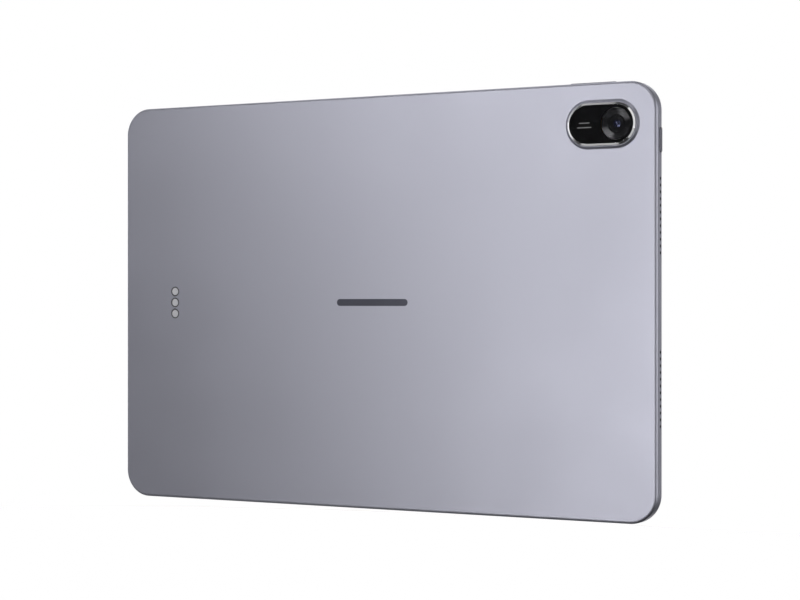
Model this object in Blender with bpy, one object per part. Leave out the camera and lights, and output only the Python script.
"""Tablet computer, upright in landscape, at real size.

Row frame: origin at the centre of the rear panel's outer face. +X and +Z are right and up for someone
who looks at the display, so the display faces -Y and the rear panel faces +Y.
Sizes below are in millimetres. A depth is a distance from the rear panel's outer face towards the
display, so a depth d lies at y = -d.
"""

import math

import bmesh
import bpy
from mathutils import Matrix, Vector

MM = 0.001
CORNER_STEPS = 8
SMALL_RADIUS = 0.05
SHARP_ANGLE = math.radians(32)
SAME_POINT = 0.001

# Body
BODY_X = 261.0
BODY_Z = 177.0
BODY_DEPTH = 6.2
BODY_CORNER = 11.8
REAR_FILLET = 1.2
FRONT_ROUND_START = 4.2
RIM_DEPTH = 6.05
RIM_OUTER_INSET = 0.5
RIM_INNER_INSET = 1.25
WALL = 2.2
LEDGE_DEPTH = 5.3
REAR_WALL = 0.75
FLOOR_CHAMFER = 0.5

# Gaps between pieces that lie face to face, and round the display frame
FACE_GAP = 0.05
FRAME_GAP = 0.07

# Display stack, outer half sizes and depths
GLASS_INSET = 1.7
GLASS_DEPTHS = (5.55, BODY_DEPTH)
GLASS_BEVEL_DEPTHS = (0.25, 0.08)
GLASS_BEVEL_INSETS = (0.1, 0.3)
FRAME_INNER_INSET = 3.9
DISPLAY_HALF = (122.6, 82.0)
DISPLAY_CORNER = 3.0
ADHESIVE_DEPTHS = (5.38, 5.5)
LCD_DEPTHS = (4.72, 5.33)
BACKLIGHT_DEPTHS = (3.82, 4.67)
TRAY_DEPTHS = (3.5, 4.6)
TRAY_SHEET = 0.25
DRIVER_HALF_LENGTH = 60.0
DRIVER_DEPTHS = (2.6, 5.3)
DRIVER_THICKNESS = 0.7
DRIVER_FILM = 0.2
DRIVER_REACH = 5.2

# Inner clearances
INNER_START = 0.85
INNER_END = 3.4
CAVITY_HALF_X = BODY_X / 2 - WALL
CAVITY_HALF_Z = BODY_Z / 2 - WALL

# Rear camera: a pill outline whose end nearest the corner holds the lens
CAMERA_CENTRE = (-107.2, 71.6)
WINDOW_HALF = (13.95, 7.75)
WINDOW_DEPTHS = (-1.7, -0.95)
TRIM_OUTER = 0.85
TRIM_TOP = 1.75
TRIM_CHAMFER = 0.75
TRIM_CHAMFER_DROP = 0.45
RIM_OPENING = 0.95
RIM_FOOT = 2.3
RIM_HEIGHT = 1.0
LENS_X = CAMERA_CENTRE[0] - (WINDOW_HALF[0] - WINDOW_HALF[1])
LENS_RING_RADII = (3.8, 6.3)
BARREL_RADIUS = 3.2
SENSOR_BOARD_DEPTHS = (3.05, 3.35)
CAMERA_FLEX_DEPTHS = (2.95, 3.1)

# Keys, almost in line with the speaker holes
KEY_DEPTH = 4.0
KEY_WIDTH = 1.8
KEY_PROUD = 0.5
KEY_GAP = 0.12
KEY_FLANGE = 0.3
KEY_FLANGE_THICKNESS = 0.4
POWER_KEY_Z = 64.75
POWER_KEY_LENGTH = 10.0
POWER_KEY_TRAVEL = 0.3
VOLUME_KEY_X = -101.5
VOLUME_KEY_LENGTH = 20.0
VOLUME_PIVOT_Z = CAVITY_HALF_Z - 0.55
VOLUME_FLANGE_GAP = 0.35
VOLUME_SWITCH_X = 6.0
SWITCH_DEPTH = 2.3

# Speakers: four groups of holes
HOLES_PER_GROUP = 12
HOLE_PITCH = 2.69
HOLE_RADIUS = 0.65
HOLE_DEPTH = 4.1
FIRST_HOLE_Z = 19.8
SPEAKER_Z = FIRST_HOLE_Z + HOLE_PITCH * (HOLES_PER_GROUP - 1) / 2
SPEAKER_LENGTH = 42.0

# USB-C port
USB_DEPTH = 3.15
USB_SHELL_HALF = (1.6, 4.47)
USB_INNER_HALF = (1.28, 4.17)
USB_BACK_X = 123.2

# Rear contacts for a keyboard cover
CONTACT_X = 103.26
CONTACT_PITCH = 5.0
CONTACT_RADIUS = 1.62
COLLAR_RADIUS = 2.15
COLLAR_GAP = 0.06
MAGNET_CENTRE = (105.1, 30.0)

# Boards, cells and screws
BOARD_DEPTHS = (2.2, 2.9)
CAN_DEPTH = 1.0
CAN_SHEET = 0.15
CHIP_DEPTH = 1.25
CHIP_CENTRE = (-81.0, 22.0)
POWER_CAN_CENTRE = (-81.0, -38.0)
FLEX_DEPTHS = (0.9, 1.05)
CELL_SIZE = (76.5, 151.0)
CELL_CENTRES_X = (-20.3, 57.4)
MAIN_SCREWS = ((-98.0, -76.5), (-65.0, -76.5), (-98.0, 54.5), (-65.0, 76.5))
USB_SCREWS = ((119.0, -10.8), (119.0, 10.8))
BOSS_RADIUS = 1.6
BOSS_TOP = 2.1
SCREW_RADIUS = 0.65
SCREW_HEAD_RADIUS = 1.2
SCREW_TIP = 1.15
MICROPHONES_X = (-35.0, 70.0)
MICROPHONE_DEPTH = 3.2
MICROPHONE_HOLE_RADIUS = 0.45

# Which way a piece built along local +Y points
TOWARDS_REAR = Matrix.Identity(4)
TOWARDS_LEFT = Matrix.Rotation(math.pi / 2, 4, "Z")
TOWARDS_RIGHT = Matrix.Rotation(-math.pi / 2, 4, "Z")
TOWARDS_TOP = Matrix.Rotation(math.pi / 2, 4, "X")


def clear_scene():
    for item in list(bpy.data.objects):
        bpy.data.objects.remove(item, do_unlink=True)


def material(name, colour, roughness, metallic):
    made = bpy.data.materials.new(name)
    made.use_nodes = True
    shader = made.node_tree.nodes["Principled BSDF"]
    shader.inputs["Base Color"].default_value = (*colour, 1.0)
    shader.inputs["Roughness"].default_value = roughness
    shader.inputs["Metallic"].default_value = metallic
    made.diffuse_color = (*colour, 1.0)
    return made


def make_materials():
    return {
        "aluminium": material("aluminium", (0.50, 0.50, 0.56), 0.45, 1.0),
        "polished": material("polished", (0.78, 0.78, 0.80), 0.12, 1.0),
        "glass": material("glass", (0.01, 0.01, 0.012), 0.05, 0.0),
        "clear": material("clear", (0.6, 0.62, 0.65), 0.1, 0.0),
        "plastic": material("plastic", (0.03, 0.03, 0.032), 0.5, 0.0),
        "board": material("board", (0.01, 0.07, 0.06), 0.45, 0.0),
        "steel": material("steel", (0.55, 0.55, 0.55), 0.35, 1.0),
        "gold": material("gold", (0.62, 0.60, 0.55), 0.3, 1.0),
        "foil": material("foil", (0.12, 0.12, 0.13), 0.4, 0.6),
        "magnet": material("magnet", (0.45, 0.45, 0.46), 0.3, 1.0),
        "flex": material("flex", (0.20, 0.09, 0.02), 0.4, 0.0),
        "graphite": material("graphite", (0.05, 0.05, 0.05), 0.55, 0.2),
    }


# Outlines, in the XZ plane


def rounded_outline(half_x, half_z, radius, steps=CORNER_STEPS):
    """Points round a rectangle with round corners. A radius equal to a half size makes a pill or a circle."""
    points = []
    for corner, (side_x, side_z) in enumerate(((1, 1), (-1, 1), (-1, -1), (1, -1))):
        for step in range(steps + 1):
            angle = (corner + step / steps) * math.pi / 2
            x = side_x * (half_x - radius) + radius * math.cos(angle)
            z = side_z * (half_z - radius) + radius * math.sin(angle)
            if not points or math.dist(points[-1], (x, z)) > SAME_POINT:
                points.append((x, z))
    if math.dist(points[0], points[-1]) < SAME_POINT:
        points.pop()
    return points


def rings(half_x, half_z, radius, profile, steps=CORNER_STEPS):
    """One ring of 3-D points for each (inset, y) of the profile."""
    made = []
    for inset, y in profile:
        corner = max(radius - inset, SMALL_RADIUS)
        outline = rounded_outline(half_x - inset, half_z - inset, corner, steps)
        made.append([(x, y, z) for x, z in outline])
    return made


def round_rings(profile, sides=24):
    """Rings for a turned piece: one for each (radius, y)."""
    return [[(x, y, z) for x, z in rounded_outline(r, r, r, sides // 4)] for r, y in profile]


def quarter(start, end, steps, swell_first):
    """Points of a quarter ellipse from start to end. swell_first moves along the first coordinate first."""
    points = []
    for step in range(steps + 1):
        angle = step / steps * math.pi / 2
        ahead, behind = math.sin(angle), 1 - math.cos(angle)
        first, second = (ahead, behind) if swell_first else (behind, ahead)
        points.append((start[0] + (end[0] - start[0]) * first, start[1] + (end[1] - start[1]) * second))
    return points


# Meshes and objects


def loft(shape, loops, closed=False):
    """Skins equal rings of points: a closed loft makes a frame, and an open one gets a cap at each end."""
    made = [[shape.verts.new(Vector(point) * MM) for point in loop] for loop in loops]
    count = len(loops[0])
    pairs = list(zip(made, made[1:]))
    if closed:
        pairs.append((made[-1], made[0]))
    for near, far in pairs:
        for i in range(count):
            j = (i + 1) % count
            shape.faces.new((near[i], near[j], far[j], far[i]))
    if not closed:
        shape.faces.new(made[0])
        shape.faces.new(made[-1])


def prism(shape, outline, low, high, axis="Y"):
    """Extrudes an outline along an axis. Its points are (x, z) along Y, (x, y) along Z or (y, z) along X."""
    place = "XYZ".index(axis)
    loft(shape, [[(*point[:place], end, *point[place:]) for point in outline] for end in (low, high)])


def box(shape, low, high):
    corners = ((low[0], low[2]), (high[0], low[2]), (high[0], high[2]), (low[0], high[2]))
    prism(shape, corners, low[1], high[1])


def add_object(name, shape, finish, location=(0, 0, 0), turn=TOWARDS_REAR, parent=None):
    """Turns a bmesh into a named object, placed in millimetres in its parent's frame."""
    bmesh.ops.recalc_face_normals(shape, faces=shape.faces)
    mesh = bpy.data.meshes.new(name)
    shape.to_mesh(mesh)
    shape.free()
    mesh.materials.append(finish)
    mesh.shade_smooth()
    mesh.set_sharp_from_angle(angle=SHARP_ANGLE)
    made = bpy.data.objects.new(name, mesh)
    bpy.context.scene.collection.objects.link(made)
    made.parent = parent
    made.matrix_local = Matrix.Translation(Vector(location) * MM) @ turn
    return made


def add_empty(name, location):
    made = bpy.data.objects.new(name, None)
    bpy.context.scene.collection.objects.link(made)
    made.location = Vector(location) * MM
    made.empty_display_size = 0.005
    return made


def combine(target, name, shape, operation, turn=TOWARDS_REAR, location=(0, 0, 0)):
    """Adds a helper solid to a target with an exact Boolean. The helper isn't part of the tablet."""
    helper = add_object(name, shape, target.data.materials[0], location, turn)
    helper.hide_render = True
    helper.display_type = "WIRE"
    change = target.modifiers.new(name, "BOOLEAN")
    change.object = helper
    change.operation = operation
    change.solver = "EXACT"


def plate(name, finish, size, depths, centre=(0, 0), corner=0.4, chamfer=0.1, steps=2, parent=None):
    """A flat piece that lies parallel to the rear panel, its edges chamfered."""
    thickness = depths[1] - depths[0]
    half = thickness / 2
    profile = [(chamfer, half), (0, half - chamfer), (0, chamfer - half), (chamfer, -half)]
    shape = bmesh.new()
    loft(shape, rings(size[0] / 2, size[1] / 2, corner, profile, steps))
    location = (centre[0], -(depths[0] + half), centre[1])
    return add_object(name, shape, finish, location, parent=parent)


def turned(name, finish, profile, location, sides=24, parent=None, closed=False):
    shape = bmesh.new()
    loft(shape, round_rings(profile, sides), closed)
    return add_object(name, shape, finish, location, parent=parent)


# Body


def shell_profile():
    """(inset, y) from the inner floor, over the rim, to the outer rear face."""
    inner = [
        (WALL + FLOOR_CHAMFER, -REAR_WALL),
        (WALL, -REAR_WALL - FLOOR_CHAMFER),
        (WALL, -LEDGE_DEPTH),
        (RIM_INNER_INSET, -LEDGE_DEPTH),
        (RIM_INNER_INSET, -RIM_DEPTH),
    ]
    front = quarter((RIM_OUTER_INSET, -RIM_DEPTH), (0, -FRONT_ROUND_START), 3, True)
    rear = quarter((0, -REAR_FILLET), (REAR_FILLET, 0), 4, False)
    return inner + front + rear


def camera_rim(shape):
    """The soft raised rim round the camera, rooted inside the rear wall."""
    half_x, half_z = WINDOW_HALF
    steps = 5
    profile = [(-RIM_FOOT, -REAR_WALL / 2)]
    for step in range(steps + 1):
        share = step / steps
        offset = RIM_FOOT + (RIM_OPENING - RIM_FOOT) * share
        profile.append((-offset, RIM_HEIGHT * (1 - math.cos(math.pi * share)) / 2))
    loops = rings(half_x, half_z, half_z, profile, 6)
    loft(shape, [[(x + CAMERA_CENTRE[0], y, z + CAMERA_CENTRE[1]) for x, y, z in loop] for loop in loops])


def cylinder(shape, centre, radius, low, high, axis, sides=12):
    """A round bar along an axis through a point, which is given by its other two coordinates."""
    outline = rounded_outline(radius, radius, radius, sides // 4)
    prism(shape, [(a + centre[0], b + centre[1]) for a, b in outline], low, high, axis)


def speaker_hole_heights():
    for index in range(HOLES_PER_GROUP):
        height = FIRST_HOLE_Z + HOLE_PITCH * index
        yield height
        yield -height


def slot(target, name, length_x, length_z, reach, location, turn):
    """Cuts a round-ended slot along local Y."""
    half_x, half_z = length_x / 2, length_z / 2
    shape = bmesh.new()
    loft(shape, rings(half_x, half_z, min(half_x, half_z), [(0, reach), (0, -reach)], 4))
    combine(target, name, shape, "DIFFERENCE", turn, location)


def make_rear_cover(finish):
    shape = bmesh.new()
    loft(shape, rings(BODY_X / 2, BODY_Z / 2, BODY_CORNER, shell_profile()))
    cover = add_object("rear_cover", shape, finish)

    additions = bmesh.new()
    camera_rim(additions)
    for x, z in MAIN_SCREWS + USB_SCREWS:
        cylinder(additions, (x, z), BOSS_RADIUS, -BOSS_TOP, -REAR_WALL / 2, "Y")
    combine(cover, "shell_additions", additions, "UNION")

    holes = bmesh.new()
    opening = rings(*WINDOW_HALF, WINDOW_HALF[1], [(-RIM_OPENING, -2.0), (-RIM_OPENING, 2.0)], 6)
    loft(holes, [[(x + CAMERA_CENTRE[0], y, z + CAMERA_CENTRE[1]) for x, y, z in loop] for loop in opening])
    for step in (-1, 0, 1):
        cylinder(holes, (CONTACT_X, step * CONTACT_PITCH), COLLAR_RADIUS + COLLAR_GAP, -2.0, 2.0, "Y", 24)
    for x, z in MAIN_SCREWS + USB_SCREWS:
        cylinder(holes, (x, z), SCREW_RADIUS + 0.1, -BOSS_TOP - 0.5, -SCREW_TIP + 0.1, "Y")
    for x in MICROPHONES_X:
        bar = (x, -MICROPHONE_DEPTH)
        cylinder(holes, bar, MICROPHONE_HOLE_RADIUS, CAVITY_HALF_Z - 1, BODY_Z / 2 + 1, "Z", 8)
    combine(cover, "shell_holes", holes, "DIFFERENCE")

    sound = bmesh.new()
    for z in speaker_hole_heights():
        cylinder(sound, (-HOLE_DEPTH, z), HOLE_RADIUS, -BODY_X, BODY_X, "X", 8)
    combine(cover, "speaker_holes", sound, "DIFFERENCE")

    clear = 2 * KEY_GAP
    wall_x = BODY_X / 2 - WALL / 2
    wall_z = BODY_Z / 2 - WALL / 2
    power_at = (-wall_x, -KEY_DEPTH, POWER_KEY_Z)
    slot(cover, "power_slot", KEY_WIDTH + clear, POWER_KEY_LENGTH + clear, WALL, power_at, TOWARDS_LEFT)
    volume_at = (VOLUME_KEY_X, -KEY_DEPTH, wall_z)
    slot(cover, "volume_slot", VOLUME_KEY_LENGTH + clear, KEY_WIDTH + clear, WALL, volume_at, TOWARDS_TOP)
    port_x, port_z = USB_SHELL_HALF[0] * 2 + clear, USB_SHELL_HALF[1] * 2 + clear
    slot(cover, "usb_slot", port_x, port_z, WALL, (wall_x, -USB_DEPTH, 0), TOWARDS_RIGHT)


# Display side


def make_display(finish):
    make_display_frame(finish["plastic"])
    make_cover_glass(finish["glass"])
    width, height = DISPLAY_HALF[0] * 2, DISPLAY_HALF[1] * 2
    thin = {"corner": DISPLAY_CORNER, "chamfer": 0.02, "steps": 3}
    plate("optical_adhesive", finish["clear"], (width - 0.6, height - 0.6), ADHESIVE_DEPTHS, **thin)
    plate("lcd_panel", finish["glass"], (width, height), LCD_DEPTHS, **thin)
    plate("backlight_unit", finish["clear"], (width - 0.8, height - 0.8), BACKLIGHT_DEPTHS, **thin)
    make_display_tray(finish["steel"])
    make_driver_board(finish["flex"])


def make_display_frame(finish):
    """The plastic seat of the cover glass, whose lip shows as a thin line round the glass."""
    outer, inner = RIM_INNER_INSET + FRAME_GAP, GLASS_INSET - FRAME_GAP
    base, seat, lip = -LEDGE_DEPTH - FACE_GAP, -GLASS_DEPTHS[0] + FACE_GAP, -RIM_DEPTH + FACE_GAP
    profile = [
        (outer, base),
        (outer, lip),
        (inner, lip),
        (inner, seat),
        (FRAME_INNER_INSET, seat),
        (FRAME_INNER_INSET, base),
    ]
    shape = bmesh.new()
    loft(shape, rings(BODY_X / 2, BODY_Z / 2, BODY_CORNER, profile), closed=True)
    add_object("display_frame", shape, finish)


def make_cover_glass(finish):
    near, far = GLASS_DEPTHS
    drop, face_drop = GLASS_BEVEL_DEPTHS
    side, face_side = GLASS_BEVEL_INSETS
    profile = [
        (GLASS_INSET, -near),
        (GLASS_INSET, drop - far),
        (GLASS_INSET + side, face_drop - far),
        (GLASS_INSET + face_side, -far),
    ]
    shape = bmesh.new()
    loft(shape, rings(BODY_X / 2, BODY_Z / 2, BODY_CORNER, profile))
    add_object("cover_glass", shape, finish)


def make_display_tray(finish):
    """The pressed steel tray behind the display. Its wall stands round the backlight."""
    back, wall_top = TRAY_DEPTHS
    profile = [
        (TRAY_SHEET, -back - TRAY_SHEET),
        (TRAY_SHEET, -wall_top),
        (0, -wall_top),
        (0, -back - TRAY_SHEET),
        (TRAY_SHEET, -back),
    ]
    shape = bmesh.new()
    loft(shape, rings(*DISPLAY_HALF, DISPLAY_CORNER, profile, 3))
    add_object("lcd_back_plate", shape, finish)


def make_driver_board(finish):
    """The driver board behind the tray, with the film that wraps round the display's lower edge."""
    under, over = DRIVER_DEPTHS
    inner = -DISPLAY_HALF[1] - 0.4
    outer = inner - DRIVER_FILM
    upper = DRIVER_REACH - DISPLAY_HALF[1]
    outline = [
        (-under, upper),
        (-under, outer),
        (-over, outer),
        (-over, inner),
        (-under - DRIVER_THICKNESS, inner),
        (-under - DRIVER_THICKNESS, upper),
    ]
    shape = bmesh.new()
    prism(shape, outline, -DRIVER_HALF_LENGTH, DRIVER_HALF_LENGTH, "X")
    add_object("display_driver_board", shape, finish)


def make_front_sensors(finish):
    centre_z = (DISPLAY_HALF[1] + CAVITY_HALF_Z) / 2
    shape = bmesh.new()
    loft(shape, rings(1.95, 1.95, 0.4, [(0, 1.9), (0, -1.2)], 2))
    camera = add_object("front_camera", shape, finish["plastic"], (0, -3.4, centre_z))
    nose = bmesh.new()
    cylinder(nose, (0, centre_z), 1.5, -5.3, -4.0, "Y", 16)
    combine(camera, "front_camera_nose", nose, "UNION")
    plate("light_sensor", finish["clear"], (2.4, 1.8), (4.5, 5.3), (8.0, centre_z))


# Power, boards and links


def make_battery(finish):
    for side, x in zip(("left", "right"), CELL_CENTRES_X):
        depths = (INNER_START, INNER_END)
        plate(f"battery_cell_{side}", finish["foil"], CELL_SIZE, depths, (x, 0), 2.0, 0.5, 3)
    plate("battery_protection_board", finish["board"], (96.0, 5.0), (1.2, 2.8), (18.5, 79.2))


def screw(name, x, z, finish):
    head_low, head_high = BOARD_DEPTHS[1] + FACE_GAP, INNER_END
    profile = [
        (SCREW_RADIUS, -SCREW_TIP),
        (SCREW_RADIUS, -head_low),
        (SCREW_HEAD_RADIUS, -head_low),
        (SCREW_HEAD_RADIUS, -head_high + 0.12),
        (SCREW_HEAD_RADIUS - 0.12, -head_high),
    ]
    turned(name, finish, profile, (x, 0, z), 12)


def board_with_holes(name, outline, screws, finish):
    shape = bmesh.new()
    prism(shape, outline, -BOARD_DEPTHS[1], -BOARD_DEPTHS[0])
    board = add_object(name, shape, finish)
    holes = bmesh.new()
    for x, z in screws:
        cylinder(holes, (x, z), SCREW_RADIUS + 0.2, -BOARD_DEPTHS[1] - 1, -BOARD_DEPTHS[0] + 1, "Y")
    combine(board, f"{name}_holes", holes, "DIFFERENCE")


def shield_can(name, size, centre, finish):
    """A pressed can of thin sheet, open towards its board."""
    high = BOARD_DEPTHS[0] - FACE_GAP
    corner = -CAN_DEPTH - CAN_SHEET
    profile = [(CAN_SHEET, corner), (CAN_SHEET, -high), (0, -high), (0, corner), (CAN_SHEET, -CAN_DEPTH)]
    shape = bmesh.new()
    loft(shape, rings(size[0] / 2, size[1] / 2, 0.8, profile, 3))
    add_object(name, shape, finish, (centre[0], 0, centre[1]))


def make_main_board(finish):
    outline = ((-101, -82.5), (-62, -82.5), (-62, 80), (-90, 80), (-90, 58), (-101, 58))
    board_with_holes("main_board", outline, MAIN_SCREWS, finish["board"])
    chip_depths = (CHIP_DEPTH, BOARD_DEPTHS[0] - FACE_GAP)
    plate("processor", finish["plastic"], (15.0, 15.0), chip_depths, CHIP_CENTRE)
    shield_can("processor_shield", (32.0, 36.0), CHIP_CENTRE, finish["steel"])
    shield_can("power_shield", (30.0, 44.0), POWER_CAN_CENTRE, finish["steel"])
    plate("graphite_sheet", finish["graphite"], (36.0, 120.0), (0.82, 0.92), (-81.0, -10.0), 1.0, 0.02)
    for index, (x, z) in enumerate(MAIN_SCREWS, 1):
        screw(f"main_board_screw_{index}", x, z, finish["steel"])
    antenna_z = (DISPLAY_HALF[1] + 0.8 + CAVITY_HALF_Z - 0.2) / 2
    plate("antenna_upper", finish["plastic"], (38.0, 3.2), (1.4, 5.0), (-69.0, antenna_z))
    plate("antenna_lower", finish["plastic"], (40.0, 3.2), (1.4, 5.0), (-84.0, -antenna_z))


def make_usb(finish):
    outline = ((108, -13), (USB_BACK_X - 0.15, -13), (USB_BACK_X - 0.15, 13), (108, 13))
    board_with_holes("usb_board", outline, USB_SCREWS, finish["board"])
    for index, (x, z) in enumerate(USB_SCREWS, 1):
        screw(f"usb_board_screw_{index}", x, z, finish["steel"])

    mouth = BODY_X / 2 - 0.2 - USB_BACK_X
    back = 0.4
    outer_x, outer_z = USB_SHELL_HALF
    lining = outer_x - USB_INNER_HALF[0]
    profile = [(0, 0), (0, mouth - 0.1), (0.1, mouth), (lining, mouth), (lining, back)]
    shape = bmesh.new()
    loft(shape, rings(outer_x, outer_z, outer_x, profile, 4))
    at = (USB_BACK_X, -USB_DEPTH, 0)
    add_object("usb_c_shell", shape, finish["steel"], at, TOWARDS_RIGHT)

    shape = bmesh.new()
    tongue = [(0, back + 0.1), (0, mouth - 1.2), (0.12, mouth - 1.0)]
    loft(shape, rings(0.35, 3.35, 0.2, tongue, 2))
    add_object("usb_c_tongue", shape, finish["plastic"], at, TOWARDS_RIGHT)


def make_main_flex(finish):
    """The long ribbon between the boards: under the cells' lower edge, then up beside the right-hand cell."""
    low_z, high_z = -82.5, -79.0
    rise_x = (96.8, 99.8)
    end_z = (-13.0, -11.0)
    outline = (
        (-82, low_z),
        (rise_x[1], low_z),
        (rise_x[1], end_z[0]),
        (112.5, end_z[0]),
        (112.5, end_z[1]),
        (rise_x[0], end_z[1]),
        (rise_x[0], high_z),
        (-82, high_z),
    )
    shape = bmesh.new()
    prism(shape, outline, -FLEX_DEPTHS[1], -FLEX_DEPTHS[0])
    ribbon = add_object("main_flex", shape, finish)
    plugs = bmesh.new()
    plug_low, plug_high = -BOARD_DEPTHS[0] + FACE_GAP, -sum(FLEX_DEPTHS) / 2
    box(plugs, (-81.5, plug_low, low_z + 0.3), (-76.0, plug_high, high_z - 0.3))
    box(plugs, (108.4, plug_low, end_z[0] + 0.2), (112.0, plug_high, end_z[1] - 0.2))
    combine(ribbon, "main_flex_plugs", plugs, "UNION")


# Audio


def speaker_shape():
    """One speaker box, seen from its port at +X: a flat chamber with a raised port lip along the wall."""
    back, lip, front = 108.5, DISPLAY_HALF[0] + 0.8, CAVITY_HALF_X - 0.75
    outline = (
        (back, -INNER_START),
        (front, -INNER_START),
        (front, -4.9),
        (lip, -4.9),
        (lip, -3.3),
        (back, -3.3),
    )
    shape = bmesh.new()
    prism(shape, outline, -SPEAKER_LENGTH / 2, SPEAKER_LENGTH / 2, "Z")
    bmesh.ops.bevel(shape, geom=shape.edges, offset=0.15 * MM, segments=1, affect="EDGES")
    return shape


def make_audio(finish):
    half_turn = Matrix.Rotation(math.pi, 4, "Y")
    groups = (
        ("right_upper", SPEAKER_Z, TOWARDS_REAR),
        ("right_lower", -SPEAKER_Z, TOWARDS_REAR),
        ("left_upper", SPEAKER_Z, half_turn),
        ("left_lower", -SPEAKER_Z, half_turn),
    )
    for place, z, turn in groups:
        add_object(f"speaker_{place}", speaker_shape(), finish["plastic"], (0, 0, z), turn)
        mesh = bmesh.new()
        half_z = HOLE_PITCH * HOLES_PER_GROUP / 2
        near = CAVITY_HALF_X - 0.35
        box(mesh, (near, -5.0, -half_z), (near + 0.2, -3.2, half_z))
        add_object(f"speaker_mesh_{place}", mesh, finish["graphite"], (0, 0, z), turn)
    for side, x in zip(("left", "right"), MICROPHONES_X):
        depths = (MICROPHONE_DEPTH - 0.6, MICROPHONE_DEPTH + 1.0)
        plate(f"microphone_{side}", finish["gold"], (3.6, 2.6), depths, (x, CAVITY_HALF_Z - 1.5))


# Rear camera


def make_rear_camera(finish):
    half_x, half_z = WINDOW_HALF
    window = add_empty("camera_window_centre", (CAMERA_CENTRE[0], 0, CAMERA_CENTRE[1]))
    lens = add_empty("lens_axis", (LENS_X, 0, CAMERA_CENTRE[1]))

    shelf = 0.85
    inner_end = -REAR_WALL - 0.1
    trim = [
        (-TRIM_OUTER, TRIM_TOP - TRIM_CHAMFER_DROP),
        (-TRIM_OUTER, inner_end),
        (-2.0, inner_end),
        (-2.0, inner_end - 0.35),
        (1.0, inner_end - 0.35),
        (1.0, shelf),
        (-0.05, shelf),
        (-0.05, TRIM_TOP),
        (TRIM_CHAMFER - TRIM_OUTER, TRIM_TOP),
    ]
    shape = bmesh.new()
    loft(shape, rings(half_x, half_z, half_z, trim, 6), closed=True)
    add_object("camera_trim", shape, finish["polished"], parent=window)

    outer, inner = (-depth for depth in WINDOW_DEPTHS)
    profile = [(0, inner), (0, outer - 0.1), (0.1, outer)]
    shape = bmesh.new()
    loft(shape, rings(half_x, half_z, half_z, profile, 6))
    add_object("camera_window", shape, finish["glass"], parent=window)

    small, large = LENS_RING_RADII
    ring = [(small, 0.3), (small, 0.45), (large, 0.82), (large, 0.3)]
    turned("camera_lens_ring", finish["steel"], ring, (0, 0, 0), 32, lens, closed=True)

    shape = bmesh.new()
    loft(shape, rings(4.6, 4.6, 0.8, [(0.2, 0.15), (0, -0.05), (0, -3.0)], 3))
    housing = add_object("camera_housing", shape, finish["plastic"], parent=lens)
    bore = bmesh.new()
    cylinder(bore, (LENS_X, CAMERA_CENTRE[1]), BARREL_RADIUS + 0.1, -4.0, 1.0, "Y", 24)
    combine(housing, "camera_bore", bore, "DIFFERENCE")

    barrel = [
        (BARREL_RADIUS, -2.4),
        (BARREL_RADIUS, 0.1),
        (BARREL_RADIUS - 0.15, 0.25),
        (2.7, 0.25),
        (1.6, -0.1),
        (1.6, -0.75),
    ]
    turned("camera_lens_barrel", finish["plastic"], barrel, (0, 0, 0), 24, lens)
    front_lens = [(1.52, -0.7), (1.52, -0.45), (1.2, -0.3), (0.6, -0.2)]
    turned("camera_front_lens", finish["glass"], front_lens, (0, 0, 0), 16, lens)

    thin = {"corner": 0.5, "chamfer": 0.03, "parent": lens}
    plate("camera_sensor_board", finish["board"], (10.2, 10.2), SENSOR_BOARD_DEPTHS, **thin)
    pad, film = (-depth for depth in CAMERA_FLEX_DEPTHS)
    start, pad_start, end = 5.2, 27.0, 33.0
    outline = (
        (start, film),
        (end, film),
        (end, pad),
        (pad_start, pad),
        (pad_start, pad - FACE_GAP),
        (start, pad - FACE_GAP),
    )
    shape = bmesh.new()
    prism(shape, outline, -3.0, 3.0, "Z")
    add_object("camera_flex", shape, finish["flex"], parent=lens)


# Keys


def key(name, across, along, at, turn, flange_gap, finish):
    """A round-ended bar that stands out of its slot, with a flange inside the wall that keeps it in."""
    half_across, half_along = across / 2, along / 2
    radius = min(half_across, half_along)
    outside = WALL + KEY_PROUD
    start = -flange_gap
    profile = [
        (-KEY_FLANGE, start - KEY_FLANGE_THICKNESS),
        (-KEY_FLANGE, start),
        (0, start),
        (0, outside - 0.25),
        (0.08, outside - 0.08),
        (0.3, outside),
    ]
    shape = bmesh.new()
    loft(shape, rings(half_across, half_along, radius, profile, 4))
    return add_object(name, shape, finish, at, turn)


def key_switch(name, button, case, at, turn, finish):
    """A switch under a key, from half sizes. Its button points along local +Y, and its case lies behind."""
    shape = bmesh.new()
    box(shape, (-button[0], -0.6, -button[1]), (button[0], 0, button[1]))
    switch = add_object(name, shape, finish, at, turn)
    base = bmesh.new()
    box(base, (-case[0], -SWITCH_DEPTH, -case[1]), (case[0], -0.4, case[1]))
    combine(switch, f"{name}_base", base, "UNION", turn, at)


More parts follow.
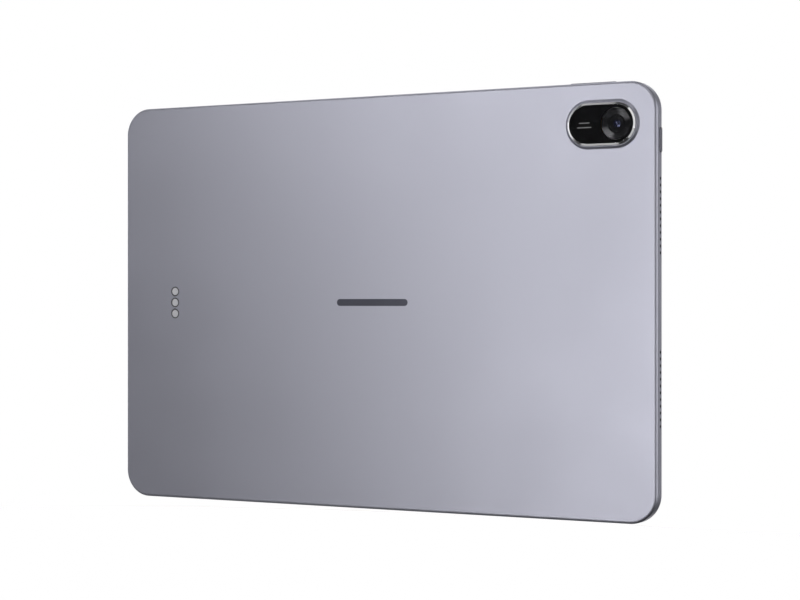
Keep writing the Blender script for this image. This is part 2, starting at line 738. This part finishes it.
def make_keys(finish):
    power_at = (-CAVITY_HALF_X, -KEY_DEPTH, POWER_KEY_Z)
    gap = FACE_GAP
    key("power_key", KEY_WIDTH, POWER_KEY_LENGTH, power_at, TOWARDS_LEFT, gap, finish["aluminium"])
    flange_back = -CAVITY_HALF_X + gap + KEY_FLANGE_THICKNESS
    switch_at = (flange_back + POWER_KEY_TRAVEL + gap, -KEY_DEPTH, POWER_KEY_Z)
    key_switch("power_switch", (0.6, 1.0), (1.2, 4.0), switch_at, TOWARDS_LEFT, finish["steel"])

    pivot = add_empty("volume_pivot", (VOLUME_KEY_X, -KEY_DEPTH, VOLUME_PIVOT_Z))
    at = (0, 0, CAVITY_HALF_Z - VOLUME_PIVOT_Z)
    gap = VOLUME_FLANGE_GAP
    volume = key("volume_key", VOLUME_KEY_LENGTH, KEY_WIDTH, at, TOWARDS_TOP, gap, finish["aluminium"])
    volume.parent = pivot
    for label, side in (("up", -1), ("down", 1)):
        switch_at = (VOLUME_KEY_X + side * VOLUME_SWITCH_X, -KEY_DEPTH, VOLUME_PIVOT_Z - 0.4)
        key_switch(f"volume_switch_{label}", (1.0, 0.6), (3.0, 1.2), switch_at, TOWARDS_TOP, finish["steel"])


# Rear contacts and the magnets that hold a cover


def make_dock(finish):
    plate("dock_flex", finish["flex"], (10.0, 4.0), (1.95, 2.05), (107.0, 0), 0.5, 0.02)
    depths, centre = (INNER_START, 1.85), (CONTACT_X, 0)
    carrier = plate("contact_carrier", finish["plastic"], (6.0, 17.0), depths, centre, 1.5, 0.1, 3)
    collars = bmesh.new()
    for step in (-1, 0, 1):
        z = step * CONTACT_PITCH
        cylinder(collars, (CONTACT_X, z), COLLAR_RADIUS, -INNER_START - 0.3, -0.05, "Y", 24)
    combine(carrier, "contact_collars", collars, "UNION")
    seats = bmesh.new()
    for step in (-1, 0, 1):
        z = step * CONTACT_PITCH
        cylinder(seats, (CONTACT_X, z), CONTACT_RADIUS + 0.04, -1.3, 1.0, "Y", 24)
    combine(carrier, "contact_seats", seats, "DIFFERENCE")
    for index, place in enumerate(("lower", "middle", "upper"), -1):
        profile = [(CONTACT_RADIUS, -1.25), (CONTACT_RADIUS, -0.08), (CONTACT_RADIUS - 0.08, 0)]
        turned(f"dock_contact_{place}", finish["gold"], profile, (CONTACT_X, 0, index * CONTACT_PITCH))
    for place, side in (("upper", 1), ("lower", -1)):
        centre = (MAGNET_CENTRE[0], side * MAGNET_CENTRE[1])
        plate(f"dock_magnet_{place}", finish["magnet"], (4.2, 28.0), (INNER_START, 3.3), centre, 0.5, 0.2)


def main():
    clear_scene()
    finish = make_materials()
    make_rear_cover(finish["aluminium"])
    make_display(finish)
    make_front_sensors(finish)
    make_battery(finish)
    make_main_board(finish)
    make_usb(finish)
    make_main_flex(finish["flex"])
    make_audio(finish)
    make_rear_camera(finish)
    make_keys(finish)
    make_dock(finish)


main()
